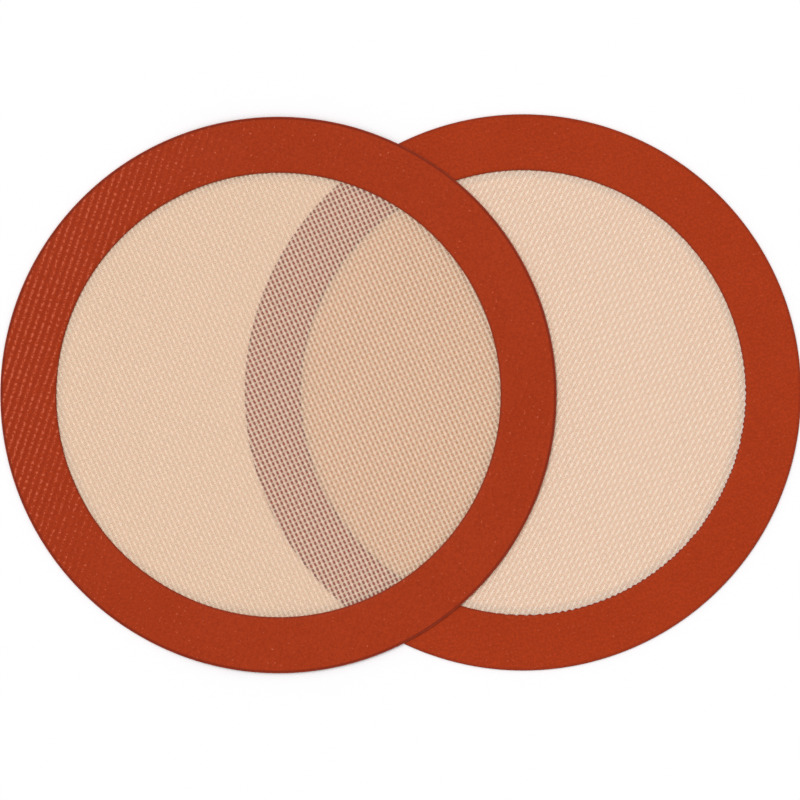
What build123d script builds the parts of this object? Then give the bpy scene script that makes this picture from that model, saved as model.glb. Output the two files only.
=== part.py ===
from build123d import *

import os
from math import isclose

# A set of two round silicone baking mats, one lying partly over the other, in millimetres.
# Each mat is a glass cloth between two clear silicone coats, with a coloured silicone border
# printed on both faces and a bead of the same silicone that seals the cut edge.
# The lower mat lies flat. The upper mat lies on it and comes down to the table beyond its rim, bent along
# straight lines only, because glass cloth doesn't stretch.
# The origin is on the table, midway between the centres of the two mats, with +Z up.

# One mat
mat_diameter = 228.0
border_width = 23.0
cloth_thickness = 0.30
coat_thickness = 0.15
print_thickness = 0.06
edge_seal_width = 0.40
edge_bevel_share = 0.5

# How the two mats lie
centre_distance_x = 100.2
centre_distance_y = 1.07
rest_gap = 0.10
drape_run = 55.0

# How far a cutting shape runs past what it cuts
overrun = 5.0

# Radii of one mat, from its own centre
mat_radius = mat_diameter / 2
laminate_radius = mat_radius - edge_seal_width
window_radius = mat_radius - border_width

# Heights of the layers, from the underside of their mat
bottom_coat_base = print_thickness
cloth_base = bottom_coat_base + coat_thickness
top_coat_base = cloth_base + cloth_thickness
top_print_base = top_coat_base + coat_thickness
mat_thickness = top_print_base + print_thickness

# The bead's bevels are limited by the bead's width and by half the mat's thickness
edge_bevel = edge_bevel_share * min(edge_seal_width, mat_thickness / 2)

lower_centre = Vector(centre_distance_x / 2, centre_distance_y / 2, 0)
upper_centre = -lower_centre

# The drape: from the lower mat's leftmost point the upper mat falls to the table in two equal arcs
drape_drop = mat_thickness + rest_gap
crest_x = lower_centre.X - mat_radius
fall_x = crest_x - drape_run / 2
foot_x = crest_x - drape_run

# Ends of the shapes that the mats are cut from
slab_left = min(foot_x, upper_centre.X - mat_radius) - overrun
slab_right = max(crest_x, upper_centre.X + mat_radius) + overrun
slab_half_width = mat_radius + centre_distance_y + overrun
cut_height = mat_thickness + drape_drop + overrun


def flat_slab(bottom, top):
    """The space between two heights of the lower mat, wider than the mat."""
    with BuildPart() as slab:
        with BuildSketch(Plane(lower_centre).offset(bottom)):
            Circle(mat_radius + overrun)
        extrude(amount=top - bottom)
    return slab.part


def draped_slab(bottom, top):
    """The same space of the upper mat: level on the lower mat, then an S of two arcs down to the table."""
    with BuildPart() as slab:
        with BuildSketch(Plane.XZ):
            with BuildLine():
                for height in (bottom, top):
                    level = Line((slab_right, height + drape_drop), (crest_x, height + drape_drop))
                    fall = TangentArc(level @ 1, (fall_x, height + drape_drop / 2), tangent=level % 1)
                    landing = TangentArc(fall @ 1, (foot_x, height), tangent=fall % 1)
                    Line(landing @ 1, (slab_left, height))
                Line((slab_right, bottom + drape_drop), (slab_right, top + drape_drop))
                Line((slab_left, bottom), (slab_left, top))
            make_face()
        extrude(amount=slab_half_width, both=True)
    return slab.part


os.makedirs("parts", exist_ok=True)

for mat, centre, slab_between in (
    ("lower_mat", lower_centre, flat_slab),
    ("upper_mat", upper_centre, draped_slab),
):
    # Glass cloth: the woven core that carries the mat
    with BuildPart() as glass_cloth:
        add(slab_between(cloth_base, top_coat_base))
        with BuildSketch(Plane(centre)):
            Circle(laminate_radius)
        extrude(amount=cut_height, mode=Mode.INTERSECT)
    glass_cloth.part.label = f"{mat}_glass_cloth"
    export_step(glass_cloth.part, f"parts/{mat}_glass_cloth.step")

    # Bottom coat: clear silicone under the whole cloth
    with BuildPart() as bottom_coat:
        add(slab_between(bottom_coat_base, cloth_base))
        with BuildSketch(Plane(centre)):
            Circle(laminate_radius)
        extrude(amount=cut_height, mode=Mode.INTERSECT)
    bottom_coat.part.label = f"{mat}_bottom_coat"
    export_step(bottom_coat.part, f"parts/{mat}_bottom_coat.step")

    # Top coat: clear silicone over the whole cloth, the face that food lies on
    with BuildPart() as top_coat:
        add(slab_between(top_coat_base, top_print_base))
        with BuildSketch(Plane(centre)):
            Circle(laminate_radius)
        extrude(amount=cut_height, mode=Mode.INTERSECT)
    top_coat.part.label = f"{mat}_top_coat"
    export_step(top_coat.part, f"parts/{mat}_top_coat.step")

    # Bottom border: coloured silicone printed on the bottom coat
    with BuildPart() as bottom_border:
        add(slab_between(0, bottom_coat_base))
        with BuildSketch(Plane(centre)):
            Circle(laminate_radius)
            Circle(window_radius, mode=Mode.SUBTRACT)
        extrude(amount=cut_height, mode=Mode.INTERSECT)
    bottom_border.part.label = f"{mat}_bottom_border"
    export_step(bottom_border.part, f"parts/{mat}_bottom_border.step")

    # Top border: coloured silicone printed on the top coat
    with BuildPart() as top_border:
        add(slab_between(top_print_base, mat_thickness))
        with BuildSketch(Plane(centre)):
            Circle(laminate_radius)
            Circle(window_radius, mode=Mode.SUBTRACT)
        extrude(amount=cut_height, mode=Mode.INTERSECT)
    top_border.part.label = f"{mat}_top_border"
    export_step(top_border.part, f"parts/{mat}_top_border.step")

    # Edge seal: a bead of coloured silicone, bevelled at both faces, round the cut edge of all five layers
    with BuildPart() as edge_seal:
        add(slab_between(0, mat_thickness))
        with BuildSketch(Plane(centre)):
            Circle(mat_radius)
            Circle(laminate_radius, mode=Mode.SUBTRACT)
        extrude(amount=cut_height, mode=Mode.INTERSECT)
        curved_faces = edge_seal.faces().filter_by(GeomType.CYLINDER)
        outer_wall = curved_faces.filter_by(lambda face: isclose(face.radius, mat_radius))
        chamfer(outer_wall.edges().filter_by(GeomType.LINE, reverse=True), edge_bevel)
    edge_seal.part.label = f"{mat}_edge_seal"
    export_step(edge_seal.part, f"parts/{mat}_edge_seal.step")
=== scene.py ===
import math

import bpy
import numpy as np
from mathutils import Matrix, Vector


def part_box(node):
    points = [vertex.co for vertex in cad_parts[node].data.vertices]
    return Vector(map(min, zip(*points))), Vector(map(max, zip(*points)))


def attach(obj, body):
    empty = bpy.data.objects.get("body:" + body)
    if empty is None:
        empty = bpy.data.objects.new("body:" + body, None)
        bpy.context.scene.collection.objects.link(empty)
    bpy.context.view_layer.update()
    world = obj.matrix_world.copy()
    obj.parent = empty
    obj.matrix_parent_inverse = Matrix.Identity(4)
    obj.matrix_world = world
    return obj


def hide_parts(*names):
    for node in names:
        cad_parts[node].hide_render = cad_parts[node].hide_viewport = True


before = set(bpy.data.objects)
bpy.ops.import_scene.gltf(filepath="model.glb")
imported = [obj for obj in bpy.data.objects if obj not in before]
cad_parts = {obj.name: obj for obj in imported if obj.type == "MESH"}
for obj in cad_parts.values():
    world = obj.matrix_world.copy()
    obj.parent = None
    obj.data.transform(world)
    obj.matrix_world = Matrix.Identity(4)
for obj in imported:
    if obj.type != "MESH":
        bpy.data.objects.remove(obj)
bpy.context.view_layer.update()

# Two round silicone baking mats, the upper one lying partly over the lower one.
# Each is a woven glass cloth between two silicone films, with a printed border on both faces and a
# bead round the cut edge. Lengths are in metres, and heights come from the flat lower mat's nodes.


# Glass cloth
# The core of each mat is a plain weave of flat glass yarns, about 1.9 by 2.0 mm from yarn to yarn.
# The warp and the weft pass over and under each other in turn. The cloth is soaked with silicone,
# pressed flat, and cut to a round together with the films.
weaves = {
    "lower_mat": {"warp angle": 61.5, "warp pitch": 0.00187, "weft angle": -32.8, "weft pitch": 0.00205},
    "upper_mat": {"warp angle": 115.0, "warp pitch": 0.00184, "weft angle": 22.2, "weft pitch": 0.00203},
}
yarn_width_share = {"warp": 0.56, "weft": 0.35}
yarn_thickness = {"warp": 0.00014, "weft": 0.00013}
# A yarn's crown colour holds a painted highlight, and its hollow colour painted shade where it dives under
# the next yarn.
yarn_looks = {
    "lower_mat": {
        "warp": {"body": 0.76, "crown": "#FFECD9", "shaded hollow": "#EDD1B9"},
        "weft": {"body": 0.54, "crown": "#F6DCC4", "shaded hollow": "#F0D0B8"},
    },
    "upper_mat": {
        "warp": {"body": 0.68, "crown": "#FFE7CF", "shaded hollow": "#EDD0B4"},
        "weft": {"body": 0.54, "crown": "#F3DABF", "shaded hollow": "#E1C8AB"},
    },
}
crimp = 0.00007
crown_spread = 0.14
yarn_end_inset = 0.0006
# Counted in yarns: how far the weave is laid out from the middle before it is cut round.
yarn_reach = 64
# A yarn is halved this many times along its length, which gives two stretches for each crossing.
yarn_halvings = 8
# The drape: the upper mat comes down to the table within this run beyond the lower mat's leftmost point.
drape_run = 0.055
mat_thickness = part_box("lower_mat_edge_seal")[1].z
drape_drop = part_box("upper_mat_edge_seal")[1].z - mat_thickness
crest_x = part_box("lower_mat_edge_seal")[0].x


def middle_of(node):
    low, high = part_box(node)
    return (low + high) / 2


def radius_of(node):
    low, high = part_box(node)
    return (high.x - low.x) / 2


def lift_over_rim(x):
    """How far the upper mat stands above the table's level at x: full on the lower mat, then two
    equal arcs down to nothing, one drape run beyond the rim."""
    along = np.clip((crest_x - x) / drape_run, 0, 1)
    radius = (drape_run / 2) ** 2 / drape_drop + drape_drop / 4
    fall = radius - np.sqrt(radius ** 2 - (np.minimum(along, 0.5) * drape_run) ** 2)
    rise = radius - np.sqrt(radius ** 2 - ((1 - np.maximum(along, 0.5)) * drape_run) ** 2)
    return np.where(along < 0.5, drape_drop - fall, rise)


def corners_of(piece):
    corners = np.empty(len(piece.data.vertices) * 3)
    piece.data.vertices.foreach_get("co", corners)
    return corners.reshape(-1, 3)


def move_corners(piece, corners):
    piece.data.vertices.foreach_set("co", corners.ravel())
    piece.data.update()


def lay_mat_piece(piece, mat):
    """Puts a flat piece made round the origin at its mat's middle, and drapes it if the mat is the
    upper one."""
    corners = corners_of(piece)
    middle = middle_of(mat + "_edge_seal")
    corners[:, 0] += middle.x
    corners[:, 1] += middle.y
    if mat == "upper_mat":
        corners[:, 2] += lift_over_rim(corners[:, 0])
    move_corners(piece, corners)


def weave_axes(mat):
    """The two vectors that turn a place on the mat into a count of warp yarns and of weft yarns."""
    weave = weaves[mat]
    across_warp = math.radians(weave["warp angle"] - 90)
    across_weft = math.radians(weave["weft angle"] + 90)
    return (
        (math.cos(across_warp) / weave["warp pitch"], math.sin(across_warp) / weave["warp pitch"], 0),
        (math.cos(across_weft) / weave["weft pitch"], math.sin(across_weft) / weave["weft pitch"], 0),
    )


def linear(code):
    """A colour written as sRGB hex, as the linear colour that a node takes."""
    parts = [int(code[place:place + 2], 16) / 255 for place in (1, 3, 5)]
    return [p / 12.92 if p <= 0.04045 else ((p + 0.055) / 1.055) ** 2.4 for p in parts] + [1]


def new_material(name):
    material = bpy.data.materials.new(name)
    material.use_nodes = True
    material.node_tree.nodes.clear()
    return material


def add_node(material, kind, inputs=None, **settings):
    """Adds a node. An input is given a value, or another node's output to be linked from."""
    node = material.node_tree.nodes.new(kind)
    for name, value in settings.items():
        setattr(node, name, value)
    for name, value in (inputs or {}).items():
        if isinstance(value, bpy.types.NodeSocket):
            material.node_tree.links.new(value, node.inputs[name])
        else:
            node.inputs[name].default_value = value
    return node


def seen_once(material, front):
    """Ends a see-through material. The piece is closed and thin, so only its faces turned to the eye tint
    what shows through it, and its far faces are clear."""
    clear = add_node(material, "ShaderNodeBsdfTransparent", {"Color": (1, 1, 1, 1)})
    side = add_node(material, "ShaderNodeNewGeometry")
    either = add_node(
        material,
        "ShaderNodeMixShader",
        {0: side.outputs["Backfacing"], 1: front, 2: clear.outputs[0]},
    )
    add_node(material, "ShaderNodeOutputMaterial", {"Surface": either.outputs[0]})


def glass_yarn_material(name, look):
    """E-glass yarn soaked in silicone: cream and half see-through, with a painted highlight on the crowns and
    painted shade where it dives under the next yarn, and a little uneven in patches of about a millimetre."""
    yarn_patch = 0.001111
    material = new_material(name)
    crown = add_node(material, "ShaderNodeAttribute", attribute_name="crown")
    place = add_node(material, "ShaderNodeTexCoord")
    patches = add_node(
        material,
        "ShaderNodeTexNoise",
        {"Vector": place.outputs["Object"], "Scale": 1 / yarn_patch, "Detail": 2.0},
    )
    shift = add_node(
        material,
        "ShaderNodeMapRange",
        {"Value": patches.outputs["Fac"], "From Min": 0.3, "From Max": 0.7, "To Min": -0.3, "To Max": 0.3},
    )
    height = add_node(
        material,
        "ShaderNodeMath",
        {0: crown.outputs["Fac"], 1: shift.outputs["Result"]},
        operation="ADD",
        use_clamp=True,
    )
    # Painted highlight on the crowns, painted shade where the yarn dives under the next one.
    colour = add_node(
        material,
        "ShaderNodeMix",
        {0: height.outputs[0], 6: linear(look["shaded hollow"]), 7: linear(look["crown"])},
        data_type="RGBA",
    )
    surface = add_node(
        material,
        "ShaderNodeBsdfPrincipled",
        {"Base Color": colour.outputs[2], "Roughness": 0.45, "Specular IOR Level": 0.3},
    )
    through = add_node(material, "ShaderNodeBsdfTransparent", {"Color": linear("#FFFFFF")})
    front = add_node(
        material,
        "ShaderNodeMixShader",
        {0: look["body"], 1: through.outputs[0], 2: surface.outputs[0]},
    )
    seen_once(material, front.outputs[0])
    return material


def straight_yarns(name):
    """A row of straight flat yarns side by side, in units of yarn spacing, and how many corners one has."""
    bpy.ops.object.select_all(action="DESELECT")
    bpy.ops.mesh.primitive_cylinder_add(
        vertices=4,
        radius=math.sqrt(0.5),
        depth=2 * yarn_reach,
        end_fill_type="NOTHING",
        rotation=(math.pi / 2, math.pi / 4, 0),
    )
    yarns = bpy.context.object
    yarns.name = name
    bpy.ops.object.transform_apply(rotation=True)
    for halving in range(yarn_halvings):
        bpy.ops.object.mode_set(mode="EDIT")
        bpy.ops.mesh.select_mode(type="EDGE")
        bpy.ops.mesh.select_all(action="DESELECT")
        bpy.ops.object.mode_set(mode="OBJECT")
        for edge in yarns.data.edges:
            first, second = (yarns.data.vertices[corner].co for corner in edge.vertices)
            edge.select = abs(first.y - second.y) > 0.1
        bpy.ops.object.mode_set(mode="EDIT")
        bpy.ops.mesh.subdivide(number_cuts=1)
        bpy.ops.object.mode_set(mode="OBJECT")
    corners_in_one = len(yarns.data.vertices)
    copies = yarns.modifiers.new("yarns side by side", "ARRAY")
    copies.count = 2 * yarn_reach + 1
    copies.use_relative_offset = False
    copies.use_constant_offset = True
    copies.constant_offset_displace = (1, 0, 0)
    bpy.ops.object.modifier_apply(modifier=copies.name)
    return yarns, corners_in_one


def crimp_yarns(yarns, corners_in_one, mat, thread):
    """Bends the straight yarns over and under, gives them their width, and sets them to the mat's own
    angles. It returns how far each corner's place along the yarn's middle line is from the mat's middle."""
    corners = corners_of(yarns)
    row = np.arange(len(corners)) // corners_in_one
    aside = corners[:, 0] - row
    row = row - yarn_reach
    along = corners[:, 1]
    wave = np.cos(np.pi * (row + along))
    if thread == "weft":
        wave = -wave
    fullness = 1 - crown_spread + crown_spread * np.abs(wave)
    aside = aside * yarn_width_share[thread] * fullness
    height = corners[:, 2] * yarn_thickness[thread] + crimp * wave
    if thread == "warp":
        counts = np.stack([row + aside, along], axis=1)
        middles = np.stack([row, along], axis=1)
    else:
        counts = np.stack([along, -(row + aside)], axis=1)
        middles = np.stack([along, -row], axis=1)
    axes = np.array(weave_axes(mat))[:, :2]
    places = counts @ np.linalg.inv(axes).T
    move_corners(yarns, np.column_stack([places, height + middle_of("lower_mat_glass_cloth").z]))
    crown = yarns.data.attributes.new("crown", "FLOAT", "POINT")
    crown.data.foreach_set("value", (0.5 + 0.5 * wave).astype(np.float32))
    return np.linalg.norm(middles @ np.linalg.inv(axes).T, axis=1)


def cut_round(yarns, distances):
    """Cuts the cloth to its round and closes the yarns' ends."""
    bpy.ops.object.mode_set(mode="EDIT")
    bpy.ops.mesh.select_mode(type="VERT")
    bpy.ops.mesh.select_all(action="DESELECT")
    bpy.ops.object.mode_set(mode="OBJECT")
    cloth_radius = radius_of("lower_mat_glass_cloth") - yarn_end_inset
    yarns.data.vertices.foreach_set("select", distances > cloth_radius)
    bpy.ops.object.mode_set(mode="EDIT")
    bpy.ops.mesh.delete(type="VERT")
    bpy.ops.mesh.select_all(action="SELECT")
    bpy.ops.mesh.fill_holes(sides=4)
    bpy.ops.mesh.normals_make_consistent(inside=False)
    bpy.ops.object.mode_set(mode="OBJECT")
    bpy.ops.object.shade_smooth()


cloth_pieces = {mat: [] for mat in weaves}
for mat in weaves:
    for thread in ("warp", "weft"):
        yarns, corners_in_one = straight_yarns(f"{mat}_{thread}_yarns")
        distances = crimp_yarns(yarns, corners_in_one, mat, thread)
        cut_round(yarns, distances)
        lay_mat_piece(yarns, mat)
        yarn_name = f"silicone-soaked glass yarn, {mat} {thread}"
        yarns.data.materials.append(glass_yarn_material(yarn_name, yarn_looks[mat][thread]))
        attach(yarns, mat)
        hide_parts(mat + "_glass_cloth")
        # Soaked glass yarn lets light through to what lies below it, so it throws no hard shadow.
        yarns.visible_shadow = False
        yarns.visible_diffuse = False
        cloth_pieces[mat].append(yarns)


# Silicone films
# Clear silicone is coated on both faces of the cloth and cured. It fills the weave, so the lower film
# carries most of the tan tint, and the upper one is a thin soft-gloss skin with the weave's relief.
film_looks = {
    "lower_mat": {
        "top": {
            "through": "#FDFBF9",
            "along print": "#F7F7F7",
            "body": "#F0DCC4",
            "veil": 0.04,
            "gleam side": (0.8, -0.6, 0),
        },
        "bottom": {"through": "#FBE2D1", "body": "#BCDCDA", "veil": 0.14},
    },
    "upper_mat": {
        "top": {"through": "#FDFBF9", "along print": "#F9F8F7", "body": "#F0DCC4", "veil": 0.04},
        "bottom": {"through": "#F9E0CE", "body": "#B4D6D4", "veil": 0.14},
    },
}
film_radius = radius_of("lower_mat_top_coat")
print_width = 0.0226
window_radius = film_radius - print_width
film_steps = 240
film_rings = 24


def turned_piece(name, section, steps, closed):
    """A round piece: its section, given as (radius, height) corners, is turned round the upright axis."""
    bpy.ops.object.select_all(action="DESELECT")
    bpy.ops.mesh.primitive_circle_add(vertices=len(section), radius=0.01, fill_type="NOTHING")
    piece = bpy.context.object
    piece.name = name
    for corner, (radius, height) in zip(piece.data.vertices, section):
        corner.co = (radius, 0, height)
    if not closed:
        # The last edge lies on the axis and would turn into nothing.
        last = len(section) - 1
        bpy.ops.object.mode_set(mode="EDIT")
        bpy.ops.mesh.select_mode(type="EDGE")
        bpy.ops.mesh.select_all(action="DESELECT")
        bpy.ops.object.mode_set(mode="OBJECT")
        on_axis = [set(edge.vertices) == {0, last} for edge in piece.data.edges]
        piece.data.edges.foreach_set("select", on_axis)
        bpy.ops.object.mode_set(mode="EDIT")
        bpy.ops.mesh.delete(type="EDGE")
        bpy.ops.object.mode_set(mode="OBJECT")
    turn = piece.modifiers.new("turned round", "SCREW")
    turn.axis = "Z"
    turn.steps = turn.render_steps = steps
    turn.use_merge_vertices = True
    turn.merge_threshold = 1e-7
    bpy.ops.object.modifier_apply(modifier=turn.name)
    bpy.ops.object.mode_set(mode="EDIT")
    bpy.ops.mesh.select_all(action="SELECT")
    bpy.ops.mesh.remove_doubles(threshold=1e-7)
    bpy.ops.mesh.normals_make_consistent(inside=False)
    bpy.ops.object.mode_set(mode="OBJECT")
    bpy.ops.object.shade_smooth_by_angle(angle=math.radians(40))
    return piece


def weave_relief(material, mat, row_share=0.5):
    """Nodes for the cloth's relief where it shows in silicone: 1 on the warp crowns, -1 on the weft crowns.
    A row share above a half joins the crowns into rows along one diagonal of the weave."""
    place = add_node(material, "ShaderNodeTexCoord")
    middle = middle_of(mat + "_edge_seal")
    on_mat = add_node(
        material,
        "ShaderNodeVectorMath",
        {0: place.outputs["Object"], 1: (middle.x, middle.y, 0)},
        operation="SUBTRACT",
    )
    across_warp, across_weft = weave_axes(mat)
    waves = []
    for sign, share in ((-1, row_share), (1, 1 - row_share)):
        axis = [math.pi * (warp + sign * weft) for warp, weft in zip(across_warp, across_weft)]
        turns = add_node(
            material, "ShaderNodeVectorMath", {0: on_mat.outputs[0], 1: axis}, operation="DOT_PRODUCT"
        )
        wave = add_node(material, "ShaderNodeMath", {0: turns.outputs["Value"]}, operation="COSINE")
        part = add_node(material, "ShaderNodeMath", {0: wave.outputs[0], 1: share}, operation="MULTIPLY")
        waves.append(part.outputs[0])
    relief = add_node(material, "ShaderNodeMath", {0: waves[0], 1: waves[1]}, operation="ADD")
    return relief.outputs[0], on_mat.outputs[0], place.outputs["Object"]


def distance_from_middle(material, on_mat):
    level = add_node(material, "ShaderNodeVectorMath", {0: on_mat, 1: (1, 1, 0)}, operation="MULTIPLY")
    length = add_node(material, "ShaderNodeVectorMath", {0: level.outputs[0]}, operation="LENGTH")
    return length.outputs["Value"]


def silicone_film_material(name, mat, look):
    """Cured clear silicone, coated by knife: it lets most light through with a tan tint, is a little milky,
    and has a soft gloss, uneven over about 2 cm and broken by the relief of the cloth."""
    coating_patch = 0.02222
    material = new_material(name)
    relief, on_mat, place = weave_relief(material, mat)
    distance = distance_from_middle(material, on_mat)
    tint = linear(look["through"])
    if "along print" in look:
        # The silicone is a little thicker and greyer in a narrow band along the print.
        thicker = add_node(
            material,
            "ShaderNodeMapRange",
            {"Value": distance, "From Min": window_radius - 0.0037, "From Max": window_radius - 0.0017},
            interpolation_type="SMOOTHSTEP",
        )
        tinted = add_node(
            material,
            "ShaderNodeMix",
            {0: thicker.outputs["Result"], 6: tint, 7: linear(look["along print"])},
            data_type="RGBA",
        )
        tint = tinted.outputs[2]
    veil = look["veil"]
    milk = linear(look["body"])
    if "gleam side" in look:
        # Where it climbs the print's edge, on the side away from the other mat, a pale gleam is painted into
        # its colour: a painted highlight.
        aside = add_node(
            material, "ShaderNodeVectorMath", {0: on_mat, 1: look["gleam side"]}, operation="DOT_PRODUCT"
        )
        towards = add_node(
            material,
            "ShaderNodeMapRange",
            {"Value": aside.outputs["Value"], "From Min": 0.02, "From Max": 0.07},
        )
        brink = add_node(
            material,
            "ShaderNodeMapRange",
            {
                "Value": distance,
                "From Min": window_radius - 0.0007,
                "From Max": window_radius,
                "To Min": 0.0,
                "To Max": 0.5,
            },
            interpolation_type="SMOOTHSTEP",
        )
        gleam = add_node(
            material,
            "ShaderNodeMath",
            {0: brink.outputs["Result"], 1: towards.outputs["Result"]},
            operation="MULTIPLY",
        )
        veiled = add_node(
            material, "ShaderNodeMath", {0: gleam.outputs[0], 1: veil}, operation="ADD", use_clamp=True
        )
        gleaming = add_node(
            material,
            "ShaderNodeMix",
            {0: gleam.outputs[0], 6: milk, 7: linear("#EFE4E4")},
            data_type="RGBA",
        )
        veil = veiled.outputs[0]
        milk = gleaming.outputs[2]
    through = add_node(material, "ShaderNodeBsdfTransparent", {"Color": tint})
    height = add_node(material, "ShaderNodeMath", {0: relief}, operation="ABSOLUTE")
    bump = add_node(
        material, "ShaderNodeBump", {"Height": height.outputs[0], "Strength": 0.6, "Distance": 0.00004}
    )
    clouds = add_node(
        material, "ShaderNodeTexNoise", {"Vector": place, "Scale": 1 / coating_patch, "Detail": 3.0}
    )
    sheen = add_node(
        material,
        "ShaderNodeMapRange",
        {"Value": clouds.outputs["Fac"], "From Min": 0.3, "From Max": 0.7, "To Min": 0.42, "To Max": 0.56},
    )
    body = add_node(
        material,
        "ShaderNodeBsdfPrincipled",
        {
            "Base Color": milk,
            "Roughness": sheen.outputs["Result"],
            "Specular IOR Level": 0.4,
            "IOR": 1.41,
            "Normal": bump.outputs[0],
        },
    )
    front = add_node(material, "ShaderNodeMixShader", {0: veil, 1: through.outputs[0], 2: body.outputs[0]})
    seen_once(material, front.outputs[0])
    return material


for mat in weaves:
    for face, look in film_looks[mat].items():
        low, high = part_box(f"lower_mat_{face}_coat")
        ring_radii = [film_radius * ring / film_rings for ring in range(film_rings + 1)]
        section = [(radius, low.z) for radius in ring_radii]
        section += [(radius, high.z) for radius in reversed(ring_radii)]
        film = turned_piece(f"{mat}_{face}_film", section, film_steps, closed=False)
        lay_mat_piece(film, mat)
        film.data.materials.append(silicone_film_material(f"clear silicone film, {mat} {face}", mat, look))
        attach(film, mat)
        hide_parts(f"{mat}_{face}_coat")


# Printed border
# A band of red-brown pigmented silicone is screen printed on both faces, from the window to the edge.
# Paler dots on the crowns of the yarns are painted highlights, in rows on the upper mat's left side, with
# painted shade between them.
# The crown colours are painted highlights on the cloth's crowns.
border_looks = {
    "lower_mat": {
        "colour": "#B03910",
        "crown": "#BC4F31",
        "left highlight": 0.0,
        "dots": -0.04,
        "outer line": 0.3,
    },
    "upper_mat": {
        "colour": "#AC3811",
        "crown": "#C65C3F",
        "left highlight": 1.0,
        "dots": -0.04,
        "outer line": 0.8,
    },
}
print_outer_radius = radius_of("lower_mat_top_border")
border_steps = 1440
border_rings = 10
edge_rounding = 0.00003
# The teeth of the lower mat's print: their height, and how far the ink stops short of them.
serration = 0.00032
print_set_back = 0.00022
# They are full between these two angles, in degrees, and slight elsewhere.
teeth_from = -100
teeth_to = 12
teeth_fade = 12
slight_teeth = 0.15
# Into the print they fade: they are gone this far outside the window, and full one taper nearer to it.
teeth_reach = 0.0012
teeth_taper = 0.0011


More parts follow.
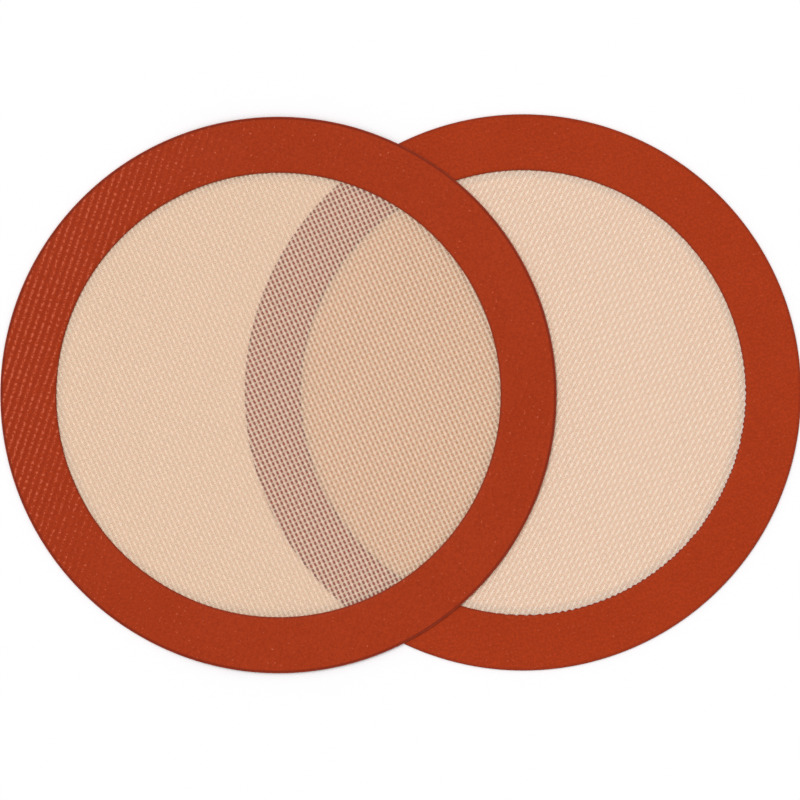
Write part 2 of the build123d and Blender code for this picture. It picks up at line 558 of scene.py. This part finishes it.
def printed_silicone_material(name, mat, look):
    """Pigmented silicone, screen printed and cured: matt to soft gloss, clouded over a few centimetres and
    grainy under a millimetre, with painted highlights on the cloth's crowns and, on the upper mat's left
    side, painted shade between them, and darker lines along the window and along the outer edge."""
    ink_cloud = 0.03571
    ink_grain = 0.000909
    speck = 0.000885
    material = new_material(name)
    relief, on_mat, place = weave_relief(material, mat, row_share=0.79)
    distance = distance_from_middle(material, on_mat)
    clouds = add_node(
        material,
        "ShaderNodeTexNoise",
        {"Vector": place, "Scale": 1 / ink_cloud, "Detail": 4.0, "Roughness": 0.6},
    )
    grain = add_node(material, "ShaderNodeTexNoise", {"Vector": place, "Scale": 1 / ink_grain, "Detail": 3.0})
    shade = add_node(
        material,
        "ShaderNodeMapRange",
        {"Value": clouds.outputs["Fac"], "From Min": 0.3, "From Max": 0.7, "To Min": 0.0, "To Max": 0.2},
    )
    cloudy = add_node(
        material,
        "ShaderNodeMix",
        {0: shade.outputs["Result"], 6: linear(look["colour"]), 7: linear("#8A2810")},
        data_type="RGBA",
    )
    fine = add_node(
        material,
        "ShaderNodeMapRange",
        {"Value": grain.outputs["Fac"], "From Min": 0.35, "From Max": 0.65, "To Min": 0.0, "To Max": 0.6},
    )
    ground = add_node(
        material,
        "ShaderNodeMix",
        {0: fine.outputs["Result"], 6: cloudy.outputs[2], 7: linear("#8E2A0A")},
        data_type="RGBA",
    )
    # Here and there a crown gets a painted highlight. On the upper mat's left side most crowns get one, in
    # slanting rows, with painted shade in the furrows between them.
    uneven = add_node(material, "ShaderNodeTexNoise", {"Vector": place, "Scale": 1 / speck, "Detail": 1.0})
    clouded = add_node(
        material,
        "ShaderNodeMath",
        {0: clouds.outputs["Fac"], 1: 0.22, 2: look["dots"]},
        operation="MULTIPLY_ADD",
    )
    pushed = add_node(
        material, "ShaderNodeMath", {0: clouded.outputs[0], 1: uneven.outputs["Fac"]}, operation="ADD"
    )
    if look["left highlight"]:
        left = add_node(
            material, "ShaderNodeVectorMath", {0: on_mat, 1: (-1.0, 0.30, 0)}, operation="DOT_PRODUCT"
        )
        left_highlight = add_node(
            material,
            "ShaderNodeMapRange",
            {
                "Value": left.outputs["Value"],
                "From Min": 0.03,
                "From Max": 0.110,
                "To Min": 0.0,
                "To Max": look["left highlight"],
            },
            interpolation_type="SMOOTHSTEP",
        )
        pushed = add_node(
            material,
            "ShaderNodeMath",
            {0: left_highlight.outputs["Result"], 1: 0.21, 2: pushed.outputs[0]},
            operation="MULTIPLY_ADD",
        )
        # Painted shade in the furrows between the crowns.
        between = add_node(
            material,
            "ShaderNodeMapRange",
            {"Value": relief, "From Min": 0.1, "From Max": -0.7, "To Min": 0.0, "To Max": 0.4},
        )
        furrow_shade = add_node(
            material,
            "ShaderNodeMath",
            {0: between.outputs["Result"], 1: left_highlight.outputs["Result"]},
            operation="MULTIPLY",
        )
        ground = add_node(
            material,
            "ShaderNodeMix",
            {0: furrow_shade.outputs[0], 6: ground.outputs[2], 7: linear("#8A2609")},
            data_type="RGBA",
        )
    chosen = add_node(
        material,
        "ShaderNodeMapRange",
        {"Value": pushed.outputs[0], "From Min": 0.73, "From Max": 0.82},
        interpolation_type="SMOOTHSTEP",
    )
    dots = add_node(
        material,
        "ShaderNodeMapRange",
        {"Value": relief, "From Min": 0.15, "From Max": 0.9},
        interpolation_type="SMOOTHSTEP",
    )
    amount = add_node(
        material,
        "ShaderNodeMath",
        {0: dots.outputs["Result"], 1: chosen.outputs["Result"]},
        operation="MULTIPLY",
    )
    # Painted highlights on the chosen crowns.
    crown_highlights = add_node(
        material,
        "ShaderNodeMix",
        {0: amount.outputs[0], 6: ground.outputs[2], 7: linear(look["crown"])},
        data_type="RGBA",
    )
    # The print is coloured darker in a narrow line along the window and along the outer edge.
    inner_line = add_node(
        material,
        "ShaderNodeMapRange",
        {
            "Value": distance,
            "From Min": window_radius + 0.0004,
            "From Max": window_radius + 0.0009,
            "To Min": 0.5,
            "To Max": 0.0,
        },
        interpolation_type="SMOOTHSTEP",
    )
    lined = add_node(
        material,
        "ShaderNodeMix",
        {0: inner_line.outputs["Result"], 6: crown_highlights.outputs[2], 7: linear("#742A18")},
        data_type="RGBA",
    )
    outer_line = add_node(
        material,
        "ShaderNodeMapRange",
        {
            "Value": distance,
            "From Min": print_outer_radius - 0.0010,
            "From Max": print_outer_radius - 0.0004,
            "To Min": 0.0,
            "To Max": look["outer line"],
        },
        interpolation_type="SMOOTHSTEP",
    )
    rimmed = add_node(
        material,
        "ShaderNodeMix",
        {0: outer_line.outputs["Result"], 6: lined.outputs[2], 7: linear("#77220F")},
        data_type="RGBA",
    )
    low_relief = add_node(material, "ShaderNodeMath", {0: relief, 1: grain.outputs["Fac"]}, operation="ADD")
    bump = add_node(
        material, "ShaderNodeBump", {"Height": low_relief.outputs[0], "Strength": 0.5, "Distance": 0.00004}
    )
    gloss = add_node(
        material,
        "ShaderNodeMapRange",
        {"Value": clouds.outputs["Fac"], "From Min": 0.3, "From Max": 0.7, "To Min": 0.46, "To Max": 0.6},
    )
    surface = add_node(
        material,
        "ShaderNodeBsdfPrincipled",
        {
            "Base Color": rimmed.outputs[2],
            "Roughness": gloss.outputs["Result"],
            "Specular IOR Level": 0.1,
            "IOR": 1.41,
            "Normal": bump.outputs[0],
        },
    )
    add_node(material, "ShaderNodeOutputMaterial", {"Surface": surface.outputs[0]})
    return material


def serrate_inner_edge(print_ring):
    """The ink creeps a little along each yarn, so from three to six o'clock the lower mat's print has fine
    teeth at the weave's spacing."""
    corners = corners_of(print_ring)
    distance = np.hypot(corners[:, 0], corners[:, 1])
    angle = np.degrees(np.arctan2(corners[:, 1], corners[:, 0]))
    axes = np.array(weave_axes("lower_mat"))[:, :2]
    counts = corners[:, :2] @ axes.T
    teeth = 0.7 * np.cos(2 * np.pi * counts[:, 1]) + 0.3 * np.cos(2 * np.pi * counts[:, 0])
    inner = np.clip((window_radius + teeth_reach - distance) / teeth_taper, 0, 1)
    past_start = np.clip((angle - teeth_from) / teeth_fade, 0, 1)
    before_end = np.clip((teeth_to - angle) / teeth_fade, 0, 1)
    share = slight_teeth + (1 - slight_teeth) * (past_start * before_end)
    grown = 1 + (print_set_back + serration * teeth) * inner * share / distance
    corners[:, 0] *= grown
    corners[:, 1] *= grown
    move_corners(print_ring, corners)


for mat in weaves:
    for face in ("bottom", "top"):
        low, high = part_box(f"lower_mat_{face}_border")
        radii = [window_radius + print_width * ring / border_rings for ring in range(1, border_rings + 1)]
        section = [
            (window_radius + edge_rounding, low.z),
            (window_radius, low.z + edge_rounding * 0.6),
            (window_radius, high.z - edge_rounding * 0.6),
            (window_radius + edge_rounding, high.z),
        ]
        section += [(radius, high.z) for radius in radii]
        section += [(radius, low.z) for radius in reversed(radii)]
        ring = turned_piece(f"{mat}_{face}_print", section, border_steps, closed=True)
        if (mat, face) == ("lower_mat", "top"):
            serrate_inner_edge(ring)
        lay_mat_piece(ring, mat)
        ink_name = f"red-brown printed silicone, {mat} {face}"
        ring.data.materials.append(printed_silicone_material(ink_name, mat, border_looks[mat]))
        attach(ring, mat)
        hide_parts(f"{mat}_{face}_border")


# Edge bead
# The cut edge is dipped in the same silicone, which closes the ends of the yarns with a thin round bead.
# It is coloured a shade darker than the print.
bead_radius = radius_of("lower_mat_edge_seal")
bead_width = bead_radius - film_radius
bead_steps = 720
bead_corners = 14
# How full the bead's round is (1 would be a plain half ellipse), and where on its width it begins.
bead_fullness = 0.6
bead_root_share = 0.35


def dipped_silicone_material(name):
    """Pigmented silicone, dipped and cured: smooth, soft gloss, dark red-brown, with runs about 3 mm long."""
    run_length = 0.003333
    material = new_material(name)
    place = add_node(material, "ShaderNodeTexCoord")
    runs = add_node(
        material,
        "ShaderNodeTexNoise",
        {"Vector": place.outputs["Object"], "Scale": 1 / run_length, "Detail": 3.0},
    )
    shade = add_node(
        material, "ShaderNodeMapRange", {"Value": runs.outputs["Fac"], "From Min": 0.3, "From Max": 0.7}
    )
    colour = add_node(
        material,
        "ShaderNodeMix",
        {0: shade.outputs["Result"], 6: linear("#7E2A14"), 7: linear("#97391F")},
        data_type="RGBA",
    )
    bump = add_node(
        material, "ShaderNodeBump", {"Height": runs.outputs["Fac"], "Strength": 0.4, "Distance": 0.00006}
    )
    surface = add_node(
        material,
        "ShaderNodeBsdfPrincipled",
        {
            "Base Color": colour.outputs[2],
            "Roughness": 0.5,
            "Specular IOR Level": 0.12,
            "IOR": 1.41,
            "Normal": bump.outputs[0],
        },
    )
    add_node(material, "ShaderNodeOutputMaterial", {"Surface": surface.outputs[0]})
    return material


bead_silicone = dipped_silicone_material("dipped edge silicone")
low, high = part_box("lower_mat_edge_seal")
bead_section = [(film_radius, high.z), (film_radius, low.z)]
for corner in range(bead_corners + 1):
    turn = math.pi * (corner / bead_corners - 0.5)
    out = abs(math.cos(turn)) ** bead_fullness
    up = math.copysign(abs(math.sin(turn)) ** bead_fullness, turn)
    radius = film_radius + bead_width * (bead_root_share + (1 - bead_root_share) * out)
    bead_section.append((radius, (low.z + high.z) / 2 + (high.z - low.z) / 2 * up))
for mat in weaves:
    bead = turned_piece(f"{mat}_edge_bead", bead_section, bead_steps, closed=True)
    lay_mat_piece(bead, mat)
    bead.data.materials.append(bead_silicone)
    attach(bead, mat)
    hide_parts(f"{mat}_edge_seal")


# Table, light and camera
# A plain white table under soft light from all round, with a soft lamp from the upper left that picks
# out the weave, and a camera straight above, as in the photograph.
table_width = 8.0
table_gap = 0.00002
surroundings_level = 0.64
lamp_strength = 1.31
lamp_angle = 40
lamp_tilt = (-14, -17, 0)
lens = 200
sensor_width = 36
camera_place = (-0.00027, -0.00258, 1.8216)
# Where the mats overlap, eight film faces and up to eight yarn faces lie over one another, and light is
# let through all of them.
see_through_faces = 24

bpy.ops.object.select_all(action="DESELECT")
bpy.ops.mesh.primitive_plane_add(size=table_width, location=(0, 0, -table_gap))
table = bpy.context.object
table.name = "table_top"
bpy.ops.object.transform_apply(location=True)
white_table = new_material("matt white table")
table_surface = add_node(white_table, "ShaderNodeBsdfDiffuse", {"Color": linear("#FDFCFD")})
add_node(white_table, "ShaderNodeOutputMaterial", {"Surface": table_surface.outputs[0]})
table.data.materials.append(white_table)

# What the camera and the gloss see of the surroundings is plain white, and what lights the mats is dimmer.
world = bpy.data.worlds.new("soft white surroundings")
bpy.context.scene.world = world
world.use_nodes = True
world.node_tree.nodes.clear()
rays = add_node(world, "ShaderNodeLightPath")
seen = add_node(
    world,
    "ShaderNodeMath",
    {0: rays.outputs["Is Camera Ray"], 1: rays.outputs["Is Glossy Ray"]},
    operation="MAXIMUM",
)
shown = add_node(
    world,
    "ShaderNodeMath",
    {0: seen.outputs[0], 1: rays.outputs["Is Transmission Ray"]},
    operation="MAXIMUM",
)
strength = add_node(
    world, "ShaderNodeMapRange", {"Value": shown.outputs[0], "To Min": surroundings_level, "To Max": 1.0}
)
air = add_node(
    world, "ShaderNodeBackground", {"Color": (1, 1, 1, 1), "Strength": strength.outputs["Result"]}
)
add_node(world, "ShaderNodeOutputWorld", {"Surface": air.outputs[0]})

lamp = bpy.data.objects.new("soft lamp", bpy.data.lights.new("soft lamp", "SUN"))
lamp.data.energy = lamp_strength
lamp.data.angle = math.radians(lamp_angle)
lamp.rotation_euler = [math.radians(tilt) for tilt in lamp_tilt]
bpy.context.scene.collection.objects.link(lamp)

camera = bpy.data.objects.new("camera", bpy.data.cameras.new("camera"))
camera.data.lens = lens
camera.data.sensor_width = sensor_width
camera.data.clip_end = 20
camera.location = camera_place
bpy.context.scene.collection.objects.link(camera)
bpy.context.scene.camera = camera

bpy.context.scene.cycles.transparent_max_bounces = see_through_faces
bpy.context.scene.view_settings.view_transform = "Standard"
